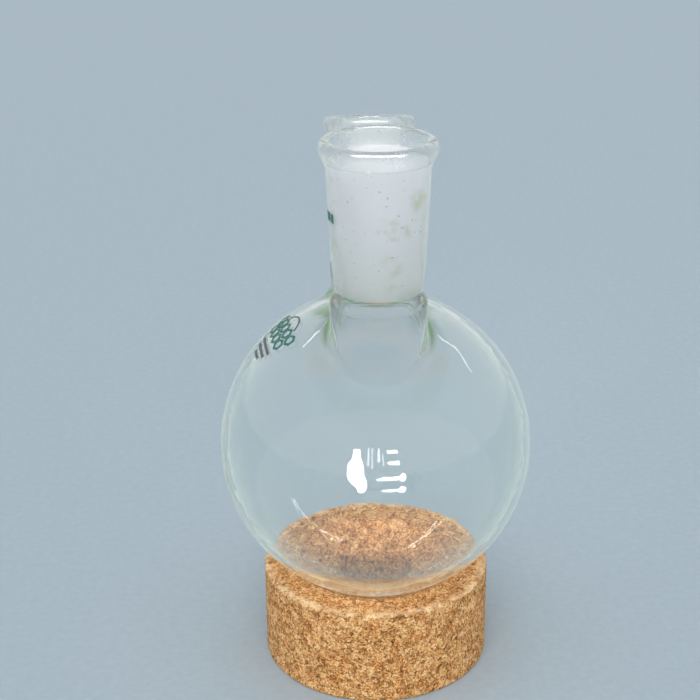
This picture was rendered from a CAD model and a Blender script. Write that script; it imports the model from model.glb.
"""Looks of a two-neck round bottom flask in its cork ring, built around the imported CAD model.

Lengths are in metres and +Z is up.
"""

from math import asin, cos, pi, radians, sin, sqrt, tan

import bpy
import numpy as np
from mathutils import Matrix, Vector, noise
from mathutils.geometry import delaunay_2d_cdt


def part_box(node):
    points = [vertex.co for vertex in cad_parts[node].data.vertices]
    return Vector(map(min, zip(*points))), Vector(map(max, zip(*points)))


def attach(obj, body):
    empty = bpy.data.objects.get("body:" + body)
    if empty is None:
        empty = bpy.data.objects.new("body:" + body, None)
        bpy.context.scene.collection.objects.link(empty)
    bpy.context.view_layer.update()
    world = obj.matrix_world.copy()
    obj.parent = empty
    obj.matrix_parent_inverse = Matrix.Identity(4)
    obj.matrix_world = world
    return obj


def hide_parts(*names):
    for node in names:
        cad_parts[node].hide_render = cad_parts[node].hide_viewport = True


MM = 0.001

# Glass, as the CAD has it
WALL = 2.0 * MM
SEAL_RADIUS = 21.7 * MM        # where a neck's skirt is sealed into the bulb, from the neck's axis
FOOT_HEIGHT = 45.0 * MM        # of both necks' feet above the bulb's centre
TAPER = 0.1
SOCKET_WALL = 1.75 * MM
WAIST_WALL = 1.3 * MM
WAIST_EASING = 8.0 * MM
SHOULDER = 4.5 * MM
GROUND_TO_BEAD = 1.2 * MM
GROUND_STEP = 0.15 * MM
LIP_RADIUS = 1.1 * MM
BEAD_SLOPE = 2.9               # the bead's underside, in section radii
AROUND = 144                   # points round a neck
BALL_STEPS = 6                 # rows of a neck's skirt on the ball, on its roll and on its tube
ROLL_STEPS = 17
TUBE_STEPS = 7

# Bulb mesh
EQUATOR = 192                  # points round the equator
HALF_RINGS = 48                # rings from the equator to a pole
LOOP_CLEARANCE = 0.8 * MM      # ring points nearer than this to a seal are left out
LOOP_TOLERANCE = 0.02 * MM     # faces nearer than this to a seal count as outside it

# Cork ring
RING_STEP = 0.55 * MM          # mesh size
RING_EDGE_RADIUS = 0.9 * MM
RING_BORE = 13.5 * MM
SEAT_CONTACT = 21.0 * MM
SEAT_GAP = 0.3 * MM
SEAT_EDGE = 28.0 * MM          # radius at which the seat's bevel meets the top face
GRANULE = 1.9 * MM
GRANULE_RELIEF = 0.12 * MM
GRANULE_WANDER = 0.35          # of a granule's place, in granules
WANDER_SHIFTS = [Vector(shift) for shift in ((9.3, -1.5, -8.0), (0, 0, 0), (6.3, 0.2, -2.7))]
CREVICE_WIDTH = 0.22           # in granules
HEIGHT_SPREAD = 7.31           # sets neighbouring granules far apart in the noise that gives their heights
PIT_DEPTH = 0.5 * MM
PIT_SPACING = 2.6 * MM
PIT_SHIFT = Vector((31.7, 8.2, 5.1))
PIT_DETAIL = 0.9 * MM
PIT_LEVEL = 0.50               # of the pit noise, from which a pit starts
PIT_SLOPE = 0.18

# Glass colour
GLASS_IOR = 1.473
FLARE_RISE = 1.5 * MM          # over which the flare's green deepens outward from the tube
FLARE_FADE = 2.5 * MM          # over which it fades out again
FLARE_END = SEAL_RADIUS + 1.5 * MM
SHOULDER_REACH = 1.6           # how far down the grey of a shoulder reaches, in shoulder heights

# Camera
CAMERA_SIDE = -25.0 * MM
CAMERA_BACK = -476.9 * MM
CAMERA_HEIGHT = 311.4 * MM
CAMERA_PITCH = 22.6
CAMERA_TURN = -2.0
CAMERA_ROLL = -0.55
CAMERA_LENS = 79.8             # mm on a 36 mm sensor

# Stage
FLOOR_HALF = 9.0
KEY_DISTANCE = 2.0
PANE_DISTANCE = 360 * MM       # of the window panes from the bulb's centre
STRIP_DISTANCE = 500 * MM      # of the strip lights
BOUNCES = 1024                 # enough for light that runs along inside a glass wall


def array(*values):
    return np.array(values, float)


# ---------------------------------------------------------------- the frame
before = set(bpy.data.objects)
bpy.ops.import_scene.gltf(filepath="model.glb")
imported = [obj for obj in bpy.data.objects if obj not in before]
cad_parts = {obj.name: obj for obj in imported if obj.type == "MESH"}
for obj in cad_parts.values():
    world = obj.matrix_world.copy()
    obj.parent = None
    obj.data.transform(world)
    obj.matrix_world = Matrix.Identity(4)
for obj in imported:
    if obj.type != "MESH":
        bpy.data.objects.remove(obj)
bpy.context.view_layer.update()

bulb_low, bulb_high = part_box("bulb")
BULB_RADIUS = (bulb_high[0] - bulb_low[0]) / 2
CENTRE = array(0, 0, bulb_low[2] + BULB_RADIUS)
ring_low, ring_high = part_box("cork_ring")
RING_RADIUS = (ring_high[0] - ring_low[0]) / 2
RING_HEIGHT = ring_high[2]
socket_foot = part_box("main_socket")[0][2]


# ---------------------------------------------------------------- materials
class Nodes:
    """A material's node tree, with short calls to add nodes and link them."""

    def __init__(self, name):
        self.material = bpy.data.materials.new(name)
        self.material.use_nodes = True
        self.tree = self.material.node_tree
        self.tree.nodes.clear()
        self.output = self.tree.nodes.new("ShaderNodeOutputMaterial")
        self.coordinates = self.tree.nodes.new("ShaderNodeTexCoord").outputs["Object"]

    def add(self, kind, inputs=None, **settings):
        node = self.tree.nodes.new("ShaderNode" + kind)
        for key, value in settings.items():
            setattr(node, key, value)
        for key, value in (inputs or {}).items():
            self.put(node.inputs[key], value)
        return node

    def put(self, socket, value):
        if isinstance(value, bpy.types.NodeSocket):
            self.tree.links.new(value, socket)
        else:
            socket.default_value = value

    def noise(self, scale, detail=2.0, roughness=0.5):
        """Fac of a noise whose features are about scale metres wide."""
        inputs = {"Vector": self.coordinates, "Scale": 1 / scale, "Detail": detail, "Roughness": roughness}
        return self.add("TexNoise", inputs).outputs["Fac"]

    def cells(self, place, scale):
        """The three random tones of irregular cells about scale metres wide."""
        node = self.add("TexVoronoi", {"Vector": place, "Scale": 1 / scale, "Randomness": 1.0})
        return self.add("SeparateColor", {"Color": node.outputs["Color"]}).outputs

    def attribute(self, name):
        return self.add("Attribute", attribute_name=name).outputs["Fac"]

    def range(self, value, low, high, to_low=0.0, to_high=1.0):
        node = self.add("MapRange", {"Value": value, "From Min": low, "From Max": high,
                                     "To Min": to_low, "To Max": to_high})
        return node.outputs["Result"]

    def mix(self, factor, a, b, blend="MIX"):
        node = self.add("Mix", data_type="RGBA", blend_type=blend)
        self.put(node.inputs["Factor"], factor)
        self.put(node.inputs[6], a)
        self.put(node.inputs[7], b)
        return node.outputs[2]

    def math(self, operation, a, b):
        node = self.add("Math", operation=operation)
        self.put(node.inputs[0], a)
        self.put(node.inputs[1], b)
        return node.outputs[0]

    def times(self, a, b):
        return self.math("MULTIPLY", a, b)

    def plus(self, a, b):
        return self.math("ADD", a, b)

    def ramp(self, value, stops):
        node = self.add("ValToRGB", {"Fac": value})
        elements = node.color_ramp.elements
        elements[0].position, elements[0].color = stops[0][0], (*stops[0][1], 1)
        elements[1].position, elements[1].color = stops[-1][0], (*stops[-1][1], 1)
        for position, colour in stops[1:-1]:
            elements.new(position).color = (*colour, 1)
        return node.outputs["Color"]

    def bump(self, height, distance, strength=1.0, normal=None):
        inputs = {"Height": height, "Distance": distance, "Strength": strength}
        if normal is not None:
            inputs["Normal"] = normal
        return self.add("Bump", inputs).outputs["Normal"]

    def finish(self, shader):
        self.tree.links.new(shader, self.output.inputs["Surface"])
        return self.material


def clear_glass():
    """Borosilicate: green in the flares, grey in the shoulders, smears and the slow waves of blown glass."""
    n = Nodes("clear_glass")
    turned_away = n.add("LayerWeight", {"Blend": 0.5}).outputs["Facing"]
    tint = n.mix(n.range(turned_away, 0.25, 0.95), (0.968, 0.988, 0.978, 1), (0.95, 0.985, 0.95, 1))
    flare = n.times(n.attribute("flare"), n.range(turned_away, 0.36, 0.57, 0.04, 1.0))
    tint = n.mix(flare, tint, (0.08, 0.27, 0.035, 1))
    shoulder = n.times(n.attribute("shoulder"), n.range(turned_away, 0.22, 0.70, 0.04, 1.0))
    tint = n.mix(shoulder, tint, (0.26, 0.25, 0.19, 1))
    smear = n.range(n.noise(14 * MM, 4, 0.6), 0.56, 0.75, 0.0, 0.045)
    waves = n.bump(n.noise(26 * MM, 1.5, 0.4), 0.35 * MM)
    ripples = n.bump(n.noise(5 * MM, 1.0, 0.4), 0.05 * MM, normal=waves)
    shader = n.add("BsdfPrincipled", {"Base Color": tint, "Roughness": smear, "IOR": GLASS_IOR,
                                      "Transmission Weight": 1.0, "Normal": ripples,
                                      "Sheen Weight": 0.5, "Sheen Roughness": 0.3,
                                      "Sheen Tint": (0.88, 0.97, 0.80, 1)})
    return n.finish(shader.outputs["BSDF"])


def ground_glass():
    """The sockets' ground bore: white and blurred, dingier at its foot, with old stains and specks."""
    n = Nodes("ground_glass")
    height = n.add("SeparateXYZ", {"Vector": n.coordinates}).outputs["Z"]
    foot = n.range(height, socket_foot + 20 * MM, socket_foot, 0.0, 1.0)
    colour = n.mix(foot, (0.935, 0.945, 0.965, 1), (0.91, 0.935, 0.89, 1))
    stain = n.times(n.range(n.noise(7 * MM, 3, 0.6), 0.52, 0.70), n.range(n.noise(17 * MM, 1), 0.48, 0.62))
    colour = n.mix(n.times(stain, 0.7), colour, (0.62, 0.64, 0.42, 1))
    specks = n.range(n.noise(1.1 * MM, 1), 0.71, 0.78, 0.0, 0.7)
    colour = n.mix(specks, colour, (0.25, 0.25, 0.20, 1))
    grain = n.noise(0.5 * MM, 3, 0.7)
    roughness = n.range(grain, 0.3, 0.7, 0.55, 0.8)
    shader = n.add("BsdfPrincipled", {"Base Color": colour, "Roughness": roughness, "IOR": GLASS_IOR,
                                      "Transmission Weight": 0.29, "Normal": n.bump(grain, 0.05 * MM)})
    return n.finish(shader.outputs["BSDF"])


def worn_glass():
    """The polished land between a socket's lip and its ground bore, hazed by use."""
    n = Nodes("worn_glass")
    haze = n.noise(2.5 * MM, 3, 0.6)
    colour = n.mix(n.range(haze, 0.4, 0.7), (0.93, 0.955, 0.955, 1), (0.88, 0.915, 0.88, 1))
    roughness = n.range(haze, 0.3, 0.7, 0.24, 0.36)
    shader = n.add("BsdfPrincipled", {"Base Color": colour, "Roughness": roughness, "IOR": GLASS_IOR,
                                      "Transmission Weight": 0.82, "Normal": n.bump(haze, 0.04 * MM)})
    return n.finish(shader.outputs["BSDF"])


def seam():
    """Where two fused glass pieces meet: nothing to see, because the glass goes on."""
    n = Nodes("fused_seam")
    return n.finish(n.add("BsdfTransparent", {"Color": (1, 1, 1, 1)}).outputs["BSDF"])


def cork():
    """Pressed cork: fine tan flakes of many tones, dark bark specks, pits, and a paler rubbed top edge."""
    n = Nodes("cork")
    warp = n.add("TexNoise", {"Vector": n.coordinates, "Scale": 1 / (1.2 * MM), "Detail": 3.0})
    shifted = n.add("VectorMath", operation="MULTIPLY_ADD")
    n.put(shifted.inputs[0], warp.outputs["Color"])
    shifted.inputs[1].default_value = (1.6 * MM,) * 3
    n.put(shifted.inputs[2], n.coordinates)
    flakes = n.cells(shifted.outputs[0], GRANULE)
    chips = n.cells(shifted.outputs[0], 0.75 * MM)
    grain = n.noise(0.55 * MM, 3, 0.75)
    broad = n.noise(9 * MM, 2)
    tone = n.plus(n.times(flakes[0], 0.15), n.times(chips[1], 0.30))
    tone = n.plus(tone, n.times(n.range(grain, 0.32, 0.68), 0.46))
    tone = n.plus(tone, n.times(n.range(broad, 0.3, 0.7), 0.09))
    colour = n.ramp(tone, [(0.22, (0.13, 0.046, 0.011)), (0.38, (0.43, 0.185, 0.052)),
                           (0.54, (0.78, 0.39, 0.130)), (0.73, (1.0, 0.70, 0.37))])
    patches = n.range(n.noise(5 * MM, 3, 0.6), 0.48, 0.68, 0.0, 0.55)
    colour = n.mix(patches, colour, (1.0, 0.74, 0.56, 1), "MULTIPLY")
    red = n.math("GREATER_THAN", flakes[2], 0.88)
    colour = n.mix(n.times(red, 0.35), colour, (0.36, 0.13, 0.05, 1))
    x, y, z = n.add("SeparateXYZ", {"Vector": n.coordinates}).outputs
    reach = n.math("POWER", n.plus(n.times(x, x), n.times(y, y)), 0.5)
    on_top = n.range(z, RING_HEIGHT - 1.0 * MM, RING_HEIGHT - 0.4 * MM)
    colour = n.mix(on_top, colour, (0.86, 0.84, 0.84, 1), "MULTIPLY")
    rubbed = n.times(on_top, n.range(reach, RING_RADIUS - 3.6 * MM, RING_RADIUS - 1.4 * MM))
    rubbed = n.times(rubbed, n.range(n.noise(4 * MM, 3, 0.6), 0.40, 0.60, 0.08, 0.62))
    colour = n.mix(rubbed, colour, (0.93, 0.70, 0.42, 1))
    under_bulb = n.range(reach, SEAT_EDGE + 1.5 * MM, SEAT_EDGE - 1.0 * MM, 0.0, 0.75)
    colour = n.mix(under_bulb, colour, (0.72, 0.64, 0.66, 1), "MULTIPLY")
    specks = n.times(n.range(n.noise(1.0 * MM, 3.0, 0.7), 0.60, 0.64),
                     n.range(n.noise(2.8 * MM, 1), 0.46, 0.56))
    colour = n.mix(n.times(specks, 0.9), colour, (0.06, 0.026, 0.012, 1))
    colour = n.mix(n.range(n.attribute("pit"), 0.1, 1.0, 0.0, 0.75), colour, (0.10, 0.045, 0.018, 1))
    relief = n.bump(n.plus(n.times(chips[1], 0.5), grain), 0.25 * MM, 0.9)
    roughness = n.range(grain, 0.2, 0.8, 0.72, 0.95)
    shader = n.add("BsdfPrincipled", {"Base Color": colour, "Roughness": roughness,
                                      "Specular IOR Level": 0.25, "Normal": relief})
    return n.finish(shader.outputs["BSDF"])


def enamel(name, colour, worn):
    """Fired print: a thin matt enamel with pinholes and slightly worn edges."""
    n = Nodes(name)
    patches = n.noise(1.3 * MM, 3, 0.65)
    tone = n.mix(n.range(patches, 0.42, 0.72), colour, worn)
    rough = n.range(n.noise(0.6 * MM, 3), 0.3, 0.7, 0.3, 0.55)
    shader = n.add("BsdfPrincipled", {"Base Color": tone, "Roughness": rough,
                                      "Normal": n.bump(patches, 0.05 * MM, 0.6)})
    return n.finish(shader.outputs["BSDF"])


def paper(name, colour):
    """The stage's matt floor, faintly mottled."""
    n = Nodes(name)
    mottle = n.range(n.noise(3 * MM, 5, 0.65), 0.3, 0.7)
    tone = n.mix(mottle, tuple(c * 0.95 for c in colour) + (1,), tuple(c * 1.04 for c in colour) + (1,))
    shader = n.add("BsdfPrincipled", {"Base Color": tone, "Roughness": 0.8, "Specular IOR Level": 0.1})
    return n.finish(shader.outputs["BSDF"])


CLEAR = clear_glass()
GROUND = ground_glass()
WORN = worn_glass()
SEAM = seam()


# ---------------------------------------------------------------- glass shapes
class Neck:
    """One neck's frame and sizes, in metres along its own axis from its foot."""

    def __init__(self, offset, lean, bead_height, bead_radius, bead_section, bore, ground, tube, flare):
        self.foot = CENTRE + array(0, offset, FOOT_HEIGHT)
        self.axis = array(0, sin(radians(lean)), cos(radians(lean)))
        self.bead_height = bead_height
        self.bead_section = bead_section
        self.bead_centre = bead_radius - bead_section
        self.top = bead_height + bead_section
        self.ground_top = bead_height - bead_section - GROUND_TO_BEAD
        self.ground_bottom = self.ground_top - ground
        self.wide_bore = bore / 2
        self.narrow_bore = bore / 2 - TAPER * ground / 2
        self.waist = self.narrow_bore + WAIST_WALL
        self.tube = tube / 2
        self.shoulder_bottom = self.ground_bottom - SHOULDER
        self.flare = flare
        turns = np.linspace(0, 2 * pi, AROUND, endpoint=False)[:, None]
        across = array(1, 0, 0)
        self.out = np.cos(turns) * across + np.sin(turns) * np.cross(self.axis, across)

    def at_distance(self, lateral, distance):
        """Points at the lateral offsets, up the axis, at the given distance from the bulb's centre."""
        start = self.foot + lateral - CENTRE
        along = start @ self.axis
        rise = np.sqrt(along ** 2 - (start ** 2).sum(1) + distance ** 2) - along
        return self.foot + lateral + rise[:, None] * self.axis

    def seal(self, radius):
        """The seal circle on the ball of the given radius."""
        return self.at_distance(self.out * SEAL_RADIUS, radius)

    def turned(self, outline, start=None, end=None):
        """Rows and normals of an outline of (radius, height) turned round the axis."""
        points = array(*outline)
        tangents = np.gradient(points, axis=0)
        tangents[0] = points[1] - points[0] if start is None else start
        tangents[-1] = points[-1] - points[-2] if end is None else end
        tangents /= np.linalg.norm(tangents, axis=1)[:, None]
        rows = [self.foot + r * self.out + h * self.axis for r, h in points]
        normals = [t[1] * self.out - t[0] * self.axis for t in tangents]
        return np.array(rows), np.array(normals)

    def skirt(self, inset):
        """Rows and normals from the seal, over the flare, up to the tube, on the outer or inner face."""
        radius = BULB_RADIUS - inset
        tube = self.tube - inset
        roll = self.flare + inset
        centres = self.at_distance(self.out * (tube + roll), radius + roll)
        to_ball = (CENTRE - centres) / (radius + roll)
        contact = centres + roll * to_ball
        rows, normals = [], []
        seal = self.seal(radius)
        for t in np.linspace(0, 1, BALL_STEPS)[:-1]:
            way = seal + t * (contact - seal) - CENTRE
            way /= np.linalg.norm(way, axis=1)[:, None]
            rows.append(CENTRE + radius * way)
            normals.append(way)
        sweep = np.arccos(np.clip(-(to_ball * self.out).sum(1), -1, 1))[:, None]
        for t in np.linspace(0, 1, ROLL_STEPS):
            way = (np.sin((1 - t) * sweep) * to_ball - np.sin(t * sweep) * self.out) / np.sin(sweep)
            rows.append(centres + roll * way)
            normals.append(-way)
        start = (rows[-1] - self.foot) @ self.axis
        for t in np.linspace(0, 1, TUBE_STEPS)[1:]:
            height = start + t * (self.shoulder_bottom - start)
            rows.append(self.foot + tube * self.out + height[:, None] * self.axis)
            normals.append(self.out)
        return np.array(rows), np.array(normals)


def arc(centre, radius, start, end, count):
    """Points of an arc in the (radius, height) plane; angles in degrees from +radius."""
    angles = np.radians(np.linspace(start, end, count))
    return [(centre[0] + radius * cos(a), centre[1] + radius * sin(a)) for a in angles]


def eased(low, high, slope_low, slope_high, count):
    """A curve between two (radius, height) points that leaves and arrives at the given slopes."""
    length = high[1] - low[1]
    found = []
    for t in np.linspace(0, 1, count):
        r = ((2 * t ** 3 - 3 * t ** 2 + 1) * low[0] + (t ** 3 - 2 * t ** 2 + t) * length * slope_low
             + (3 * t ** 2 - 2 * t ** 3) * high[0] + (t ** 3 - t ** 2) * length * slope_high)
        found.append((r, low[1] + t * length))
    return found


def line(start, end, count):
    return [tuple(p) for p in np.linspace(start, end, count)]


def mesh_object(name, points, faces, slots, normals, materials):
    """A smooth mesh in the scene, with its own normal at every face corner where these are given."""
    mesh = bpy.data.meshes.new(name)
    mesh.from_pydata([tuple(p) for p in points], [], faces)
    for material in materials:
        mesh.materials.append(material)
    mesh.polygons.foreach_set("material_index", slots)
    mesh.shade_smooth()
    mesh.update()
    if normals is not None:
        mesh.normals_split_custom_set([tuple(v) for v in normals])
    mesh.validate()
    thing = bpy.data.objects.new(name, mesh)
    bpy.context.scene.collection.objects.link(thing)
    return thing


def turned_piece(name, sheets, materials):
    """A closed piece from sheets of (rows, normals, slot) that follow each other round its section."""
    points, faces, corners, slots = [], [], [], []
    total = sum(len(rows) - 1 for rows, _, _ in sheets)
    step = 0
    for rows, normals, slot in sheets:
        for i in range(len(rows) - 1):
            points.extend(rows[i])
            low, high = step * AROUND, (step + 1) % total * AROUND
            for j in range(AROUND):
                k = (j + 1) % AROUND
                faces.append((low + j, low + k, high + k, high + j))
                corners.extend((normals[i][j], normals[i][k], normals[i + 1][k], normals[i + 1][j]))
                slots.append(slot)
            step += 1
    return mesh_object(name, points, faces, slots, corners, materials)


def joined(first, second):
    """Two stretches of one smooth sheet, the second starting where the first ends."""
    return np.concatenate([first[0], second[0][1:]]), np.concatenate([first[1], second[1][1:]])


def flat_sheet(low, high):
    """One band between two rows, with its own face normals."""
    normals = []
    for j in range(AROUND):
        k = (j + 1) % AROUND
        normals.append(np.cross(low[k] - low[j], high[j] - low[j]))
    normals = np.array(normals)
    normals /= np.linalg.norm(normals, axis=1)[:, None]
    return np.array([low, high]), np.array([normals, normals])


def flare_depth(neck, point):
    """How much the glass is thickened there by the neck's flare, from 0 to 1."""
    if point[2] < CENTRE[2]:
        return 0.0
    reach = axis_distance(neck, point)
    rise = (reach - neck.tube) / FLARE_RISE
    fade = (FLARE_END - reach) / FLARE_FADE
    return float(np.clip(rise, 0, 1) * np.clip(fade, 0, 1))


def shoulder_depth(neck, point):
    """How much the glass is thickened there by the neck's shoulder, from 0 to 1."""
    height = (point - neck.foot) @ neck.axis
    return float(np.clip((height - neck.shoulder_bottom) / SHOULDER + SHOULDER_REACH, 0, 1))


def with_thickness(piece, necks):
    """The piece with the "flare" and "shoulder" attributes of the glass material set."""
    points = [array(*v.co) for v in piece.data.vertices]
    for name, depth in (("flare", flare_depth), ("shoulder", shoulder_depth)):
        values = [max(depth(neck, p) for neck in necks) for p in points]
        piece.data.attributes.new(name, "FLOAT", "POINT").data.foreach_set("value", values)
    return piece


def neck_piece(name, neck):
    """The clear neck: skirt, flare, tube and shoulder, one wall thick all the way."""
    tube_in = neck.tube - WALL
    upright, down = (0, 1), (0, -1)
    outer = eased((neck.tube, neck.shoulder_bottom), (neck.waist, neck.ground_bottom), 0, 0, 12)
    inner = eased((tube_in, neck.shoulder_bottom), (neck.narrow_bore, neck.ground_bottom), 0, 0, 12)[::-1]
    outer_face = joined(neck.skirt(0), neck.turned(outer, upright, upright))
    low_rows, low_normals = neck.skirt(WALL)
    inner_low = low_rows[::-1], -low_normals[::-1]
    inner_face = joined(neck.turned(inner, down, down), inner_low)
    top = flat_sheet(outer_face[0][-1], inner_face[0][0])
    seal = flat_sheet(inner_face[0][-1], outer_face[0][0])
    sheets = [(*outer_face, 0), (*top, 1), (*inner_face, 0), (*seal, 1)]
    return with_thickness(turned_piece(name, sheets, [CLEAR, SEAM]), [neck])


def socket_piece(name, neck):
    """The taper socket: clear outside and rim, worn land, ground bore."""
    low, high = neck.ground_bottom, neck.ground_top
    base = neck.narrow_bore + SOCKET_WALL
    knee = low + WAIST_EASING
    outer = eased((neck.waist, low), (base + TAPER / 2 * WAIST_EASING, knee), 0, TAPER / 2, 14)
    foot = neck.bead_height - BEAD_SLOPE * neck.bead_section
    wall_top = (base + TAPER / 2 * (foot - low), foot)
    side = (neck.bead_centre + neck.bead_section, neck.bead_height)
    outer += line(outer[-1], wall_top, 16)[1:]
    outer += eased(wall_top, side, TAPER / 2, 0, 18)[1:]
    outer += arc((neck.bead_centre, neck.bead_height), neck.bead_section, 0, 90, 14)[1:]
    mouth = neck.wide_bore + GROUND_STEP
    lip = (mouth + LIP_RADIUS, neck.top - LIP_RADIUS)
    if neck.bead_centre - lip[0] > 0.01 * MM:
        outer.append((lip[0], neck.top))
    outer += arc(lip, LIP_RADIUS, 90, 180, 10)[1:]
    land = line(outer[-1], (mouth, high + GROUND_STEP), 5) + [(neck.wide_bore, high)]
    bore = line((neck.wide_bore, high), (neck.narrow_bore, low), 30)
    outer_face = neck.turned(outer, start=(0, 1))
    land_face = neck.turned(land)
    bore_face = neck.turned(bore)
    seal = flat_sheet(bore_face[0][-1], outer_face[0][0])
    sheets = [(*outer_face, 0), (*land_face, 3), (*bore_face, 2), (*seal, 1)]
    return turned_piece(name, sheets, [CLEAR, SEAM, GROUND, WORN])


def ball_skin(radius, necks):
    """Points and faces of the ball between the seals, and each seal's first point."""
    loops = [neck.seal(radius) for neck in necks]
    upper = [CENTRE + radius * array(cos(a), sin(a), 0)
             for a in np.linspace(0, 2 * pi, EQUATOR, endpoint=False)]
    starts = []
    for loop in loops:
        starts.append(len(upper))
        upper.extend(loop)
    for ring in range(1, HALF_RINGS):
        polar = pi / 2 * (1 - ring / HALF_RINGS)
        count = max(8, round(EQUATOR * sin(polar)))
        for step in range(count):
            a = 2 * pi * (step + 0.5 * (ring % 2)) / count
            point = CENTRE + radius * array(sin(polar) * cos(a), sin(polar) * sin(a), cos(polar))
            if all(axis_distance(neck, point) > SEAL_RADIUS + LOOP_CLEARANCE for neck in necks):
                upper.append(point)
    upper.append(CENTRE + array(0, 0, radius))
    flat = []
    for point in upper:
        x, y, z = (point - CENTRE) / radius
        polar = np.arccos(np.clip(z, -1, 1))
        across = max(sqrt(x * x + y * y), 1e-9)
        flat.append(Vector((x / across * polar, y / across * polar)))
    edges = [(i, (i + 1) % EQUATOR) for i in range(EQUATOR)]
    for start in starts:
        edges += [(start + j, start + (j + 1) % AROUND) for j in range(AROUND)]
    found = delaunay_2d_cdt(flat, edges, [], 0, 1e-9, True)
    origin = [ids[0] for ids in found[3]]
    faces = []
    for triangle in found[2]:
        face = [origin[i] for i in triangle]
        middle = sum(upper[i] for i in face) / 3
        in_one_loop = any(all(0 <= i - start < AROUND for i in face) for start in starts)
        outside = all(axis_distance(neck, middle) > SEAL_RADIUS - LOOP_TOLERANCE for neck in necks)
        if outside and not in_one_loop:
            a, b, c = (flat[i] for i in face)
            turn = (b - a).x * (c - a).y - (b - a).y * (c - a).x
            faces.append(tuple(face if turn > 0 else face[::-1]))
    points = list(upper)
    above = list(range(EQUATOR))
    for ring in range(1, HALF_RINGS):
        polar = pi / 2 * ring / HALF_RINGS
        below = list(range(len(points), len(points) + EQUATOR))
        for step in range(EQUATOR):
            a = 2 * pi * step / EQUATOR
            points.append(CENTRE + radius * array(cos(polar) * cos(a), cos(polar) * sin(a), -sin(polar)))
        for j in range(EQUATOR):
            k = (j + 1) % EQUATOR
            faces.append((above[j], below[j], below[k], above[k]))
        above = below
    points.append(CENTRE - array(0, 0, radius))
    for j in range(EQUATOR):
        faces.append((above[j], len(points) - 1, above[(j + 1) % EQUATOR]))
    return points, faces, starts


def axis_distance(neck, point):
    offset = point - neck.foot
    return np.linalg.norm(offset - neck.axis * (offset @ neck.axis))


def bulb_piece(name, necks):
    """The bulb: two concentric skins, joined where the necks are sealed in."""
    points, faces, starts = ball_skin(BULB_RADIUS, necks)
    inner_points, inner_faces, inner_starts = ball_skin(BULB_RADIUS - WALL, necks)
    shift = len(points)
    corners = [(points[i] - CENTRE) / BULB_RADIUS for face in faces for i in face]
    inner = [tuple(i + shift for i in face[::-1]) for face in inner_faces]
    points = points + inner_points
    corners += [(CENTRE - points[i]) / (BULB_RADIUS - WALL) for face in inner for i in face]
    faces = faces + inner
    slots = [0] * len(faces)
    for neck, start, inner_start in zip(necks, starts, inner_starts):
        for j in range(AROUND):
            k = (j + 1) % AROUND
            faces.append((start + j, start + k, inner_start + k + shift, inner_start + j + shift))
            corners += [-(neck.out[j] + neck.out[k]) / 2] * 4
            slots.append(1)
    return with_thickness(mesh_object(name, points, faces, slots, corners, [CLEAR, SEAM]), necks)


# ---------------------------------------------------------------- cork ring
def ring_outline():
    """The ring's section, closed, as (radius, height) from the bore's foot outward and round."""
    slope = asin(SEAT_CONTACT / BULB_RADIUS)
    reach = BULB_RADIUS + SEAT_GAP
    contact = (reach * sin(slope), CENTRE[2] - reach * cos(slope))
    bevel_foot = (RING_BORE, contact[1] - (contact[0] - RING_BORE) * tan(slope))
    bevel_top = (contact[0] + (RING_HEIGHT - contact[1]) / tan(slope), RING_HEIGHT)
    edge = RING_RADIUS - RING_EDGE_RADIUS
    corners = [line((RING_BORE, 0), (edge, 0), 2),
               arc((edge, RING_EDGE_RADIUS), RING_EDGE_RADIUS, -90, 0, 5),
               arc((edge, RING_HEIGHT - RING_EDGE_RADIUS), RING_EDGE_RADIUS, 0, 90, 5),
               [bevel_top], [bevel_foot], [(RING_BORE, 0)]]
    outline = [p for part in corners for p in part]
    dense = []
    for a, b in zip(outline, outline[1:]):
        steps = max(1, round(np.hypot(b[0] - a[0], b[1] - a[1]) / RING_STEP))
        dense += line(a, b, steps + 1)[:-1]
    return np.array(dense)


def cork_relief(point):
    """How deep the surface lies below the turned shape, and how much of a pit it is there."""
    place = Vector(point) / GRANULE
    place += GRANULE_WANDER * Vector([noise.noise(place * 1.7 + shift) for shift in WANDER_SHIFTS])
    distances, cells = noise.voronoi(place)
    crevice = max(0.0, 1 - (distances[1] - distances[0]) / CREVICE_WIDTH)
    height = noise.cell(cells[0] * HEIGHT_SPREAD)
    depth = GRANULE_RELIEF * (0.45 * crevice + 0.55 * height)
    broad = noise.noise(Vector(point) / PIT_SPACING + PIT_SHIFT)
    fine = noise.noise(Vector(point) / PIT_DETAIL)
    pit = min(1.0, max(0.0, (broad + 0.35 * fine - PIT_LEVEL) / PIT_SLOPE))
    return depth + pit * PIT_DEPTH, pit


def cork_piece(name):
    """The ring: its outline turned, with the relief of its granules and its pits. Its bottom stays flat."""
    outline = ring_outline()
    tangents = np.roll(outline, -1, 0) - np.roll(outline, 1, 0)
    tangents /= np.linalg.norm(tangents, axis=1)[:, None]
    count = round(2 * pi * RING_RADIUS / RING_STEP)
    points, pits = [], []
    for (r, z), (tr, tz) in zip(outline, tangents):
        flat_bottom = z < 0.05 * MM and r < RING_RADIUS - RING_EDGE_RADIUS
        for j in range(count):
            a = 2 * pi * j / count
            depth, pit = (0, 0) if flat_bottom else cork_relief((r * cos(a), r * sin(a), z))
            radius, height = r - tz * depth, max(0.0, z + tr * depth)
            points.append((radius * cos(a), radius * sin(a), height))
            pits.append(pit)
    faces = []
    rows = len(outline)
    for i in range(rows):
        for j in range(count):
            k = (j + 1) % count
            low, high = i * count, (i + 1) % rows * count
            faces.append((low + j, low + k, high + k, high + j))
    ring = mesh_object(name, points, faces, [0] * len(faces), None, [cork()])
    ring.data.attributes.new("pit", "FLOAT", "POINT").data.foreach_set("value", pits)
    return ring


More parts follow.
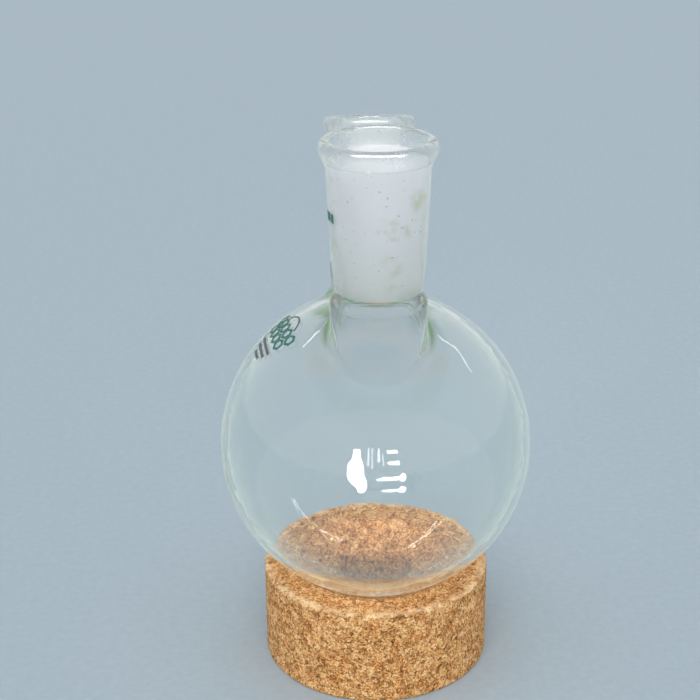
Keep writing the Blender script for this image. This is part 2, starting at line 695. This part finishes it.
# ---------------------------------------------------------------- pieces
main_low, main_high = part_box("main_socket")
main_neck = Neck(offset=(main_low[1] + main_high[1]) / 2, lean=0.0,
                 bead_height=64.7 * MM, bead_radius=(main_high[0] - main_low[0]) / 2, bead_section=2.45 * MM,
                 bore=29.2 * MM, ground=42.0 * MM, tube=30.9 * MM, flare=6.0 * MM)
side_low, side_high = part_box("side_socket")
side_neck = Neck(offset=22.0 * MM, lean=12.0,
                 bead_height=58.8 * MM, bead_radius=(side_high[0] - side_low[0]) / 2, bead_section=2.1 * MM,
                 bore=24.0 * MM, ground=40.0 * MM, tube=28.4 * MM, flare=6.0 * MM)

glass = {
    "bulb": (bulb_piece("bulb_glass", [main_neck, side_neck]), "clear_glass"),
    "main_neck": (neck_piece("main_neck_glass", main_neck), "clear_glass"),
    "main_socket": (socket_piece("main_socket_glass", main_neck), "ground_glass"),
    "side_neck": (neck_piece("side_neck_glass", side_neck), "clear_glass"),
    "side_socket": (socket_piece("side_socket_glass", side_neck), "ground_glass"),
}
for node, (piece, slot) in glass.items():
    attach(piece, "flask")
    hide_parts(node)
    piece.visible_shadow = slot == "ground_glass"  # clear glass throws no dark shadow

ring = cork_piece("cork_ring_granular")
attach(ring, "ring")
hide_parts("cork_ring")

GREEN = enamel("green_enamel", (0.012, 0.115, 0.085, 1), (0.03, 0.19, 0.15, 1))
GREY = enamel("grey_enamel", (0.055, 0.065, 0.07, 1), (0.13, 0.15, 0.16, 1))
for node, material in (("green_print", GREEN), ("socket_size_mark", GREEN), ("grey_print", GREY)):
    for material_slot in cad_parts[node].material_slots:
        material_slot.material = material

# ---------------------------------------------------------------- stage
floor_mesh = bpy.data.meshes.new("floor")
floor_corners = [(x * FLOOR_HALF, y * FLOOR_HALF, 0) for x, y in ((-1, -1), (1, -1), (1, 1), (-1, 1))]
floor_mesh.from_pydata(floor_corners, [], [(0, 1, 2, 3)])
floor_mesh.materials.append(paper("floor", (0.388, 0.459, 0.507)))
floor = bpy.data.objects.new("floor", floor_mesh)
bpy.context.scene.collection.objects.link(floor)


def on_compass(azimuth, elevation, distance):
    """A place seen from the bulb's centre; azimuth 0 is in front of the object, positive to its right."""
    a, e = radians(azimuth), radians(elevation)
    return tuple(CENTRE + distance * array(sin(a) * cos(e), -cos(a) * cos(e), sin(e)))


gleaming_bulb = bpy.data.collections.new("gleaming_bulb")
gleaming_bulb.objects.link(glass["bulb"][0])
gleaming_rims = bpy.data.collections.new("gleaming_rims")
gleaming_rims.objects.link(glass["main_socket"][0])
gleaming_rims.objects.link(glass["side_socket"][0])


def lamp(name, light, place):
    """A light that faces the bulb's centre."""
    thing = bpy.data.objects.new(name, light)
    thing.location = place
    thing.rotation_euler = Vector(CENTRE - array(*place)).to_track_quat("-Z", "Y").to_euler()
    thing.visible_camera = False
    bpy.context.scene.collection.objects.link(thing)
    return thing


def area_light(name, shape, width, height, brightness):
    """A flat light whose brightness doesn't depend on its size."""
    light = bpy.data.lights.new(name, "AREA")
    light.shape = shape
    light.size = width
    light.size_y = height
    area = width * height * (pi / 4 if shape == "ELLIPSE" else 1)
    light.energy = brightness * pi * area
    return light


def pane(name, left, right, low, high, brightness, shape="RECTANGLE", gleaming=gleaming_bulb):
    """One bright window pane, seen only as a gleam; its edges are degrees on the compass."""
    width, height = PANE_DISTANCE * radians(right - left), PANE_DISTANCE * radians(high - low)
    light = area_light(name, shape, width, height, brightness)
    thing = lamp(name, light, on_compass((left + right) / 2, (low + high) / 2, PANE_DISTANCE))
    thing.visible_diffuse = False
    thing.visible_transmission = False
    thing.light_linking.receiver_collection = gleaming


def strip(name, start, end, width, brightness):
    """A thin bright strip between two compass directions, seen only as a gleam inside the bulb."""
    first, last = (array(*on_compass(*way, STRIP_DISTANCE)) for way in (start, end))
    middle = (first + last) / 2
    light = area_light(name, "RECTANGLE", float(np.linalg.norm(last - first)), width, brightness)
    thing = lamp(name, light, tuple(middle))
    along = Vector(last - first).normalized()
    across = Vector(middle - CENTRE).cross(along).normalized()
    thing.rotation_euler = Matrix((along, across, along.cross(across))).transposed().to_euler()
    thing.visible_diffuse = False
    thing.visible_glossy = False
    thing.light_linking.receiver_collection = gleaming_bulb


daylight = bpy.data.lights.new("daylight", "SUN")
daylight.energy = 1.6
daylight.angle = radians(50)
daylight.color = (1.0, 0.985, 0.96)
key = lamp("daylight", daylight, on_compass(-8, 38, KEY_DISTANCE))
key.visible_glossy = False
key.visible_transmission = False

# The window that gleams on the bulb: its panes' left, right, low and high edges, and brightness
pane("window_main", -21.5, -10.5, -4, 14.5, 40, "ELLIPSE")
pane("window_main_foot", -16.5, -8.5, -8, 4, 40, "ELLIPSE")
pane("window_main_top", -18, -14, 12, 19, 30)
pane("window_bar_1", 5, 12.5, 17, 19, 24)
pane("window_bar_2", 5, 12.5, 10.5, 12.3, 24)
pane("window_bar_3", -4, 15, -0.2, 2.6, 24, "ELLIPSE")
pane("window_bar_4", 0, 15, -8.6, -5.8, 24, "ELLIPSE")
pane("window_end_3", 12, 17.5, -1.5, 4, 24, "ELLIPSE")
pane("window_end_4", 12, 17.5, -9.6, -4.6, 24, "ELLIPSE")

# Its light on the far wall, low in the bulb: the strip's two ends on the compass, width and brightness
strip("seat_gleam_left", (109, 28), (150, 50), 9 * MM, 9)
strip("seat_gleam_right", (-126, 42), (-163, 45), 13 * MM, 8)

# The sky over the sockets' rims, and the narrow slats between the window's panes
pane("skylight", -35, 35, 55, 80, 14, gleaming=gleaming_rims)
pane("window_slat_1", -8.5, -7.2, 10, 20, 12)
pane("window_slat_2", -5.5, -4.5, 8, 20, 8)
pane("window_slat_3", -1.5, 0, 12, 20, 12)
pane("window_slat_4", 1.5, 2.5, 10, 17, 8)

world = bpy.data.worlds.new("studio")
world.use_nodes = True
background = world.node_tree.nodes["Background"]
background.inputs["Color"].default_value = (0.91, 0.955, 1.0, 1)
background.inputs["Strength"].default_value = 0.78
bpy.context.scene.world = world
bpy.context.scene.view_settings.view_transform = "Standard"
for bounces in ("max_bounces", "transmission_bounces", "glossy_bounces", "transparent_max_bounces"):
    setattr(bpy.context.scene.cycles, bounces, BOUNCES)

lens = bpy.data.cameras.new("camera")
lens.lens = CAMERA_LENS
lens.sensor_width = 36
lens.clip_start = 0.01
camera = bpy.data.objects.new("camera", lens)
camera.matrix_world = (Matrix.Translation((CAMERA_SIDE, CAMERA_BACK, CAMERA_HEIGHT))
                       @ Matrix.Rotation(radians(CAMERA_TURN), 4, "Z")
                       @ Matrix.Rotation(radians(90 - CAMERA_PITCH), 4, "X")
                       @ Matrix.Rotation(radians(CAMERA_ROLL), 4, "Z"))
bpy.context.scene.collection.objects.link(camera)
bpy.context.scene.camera = camera
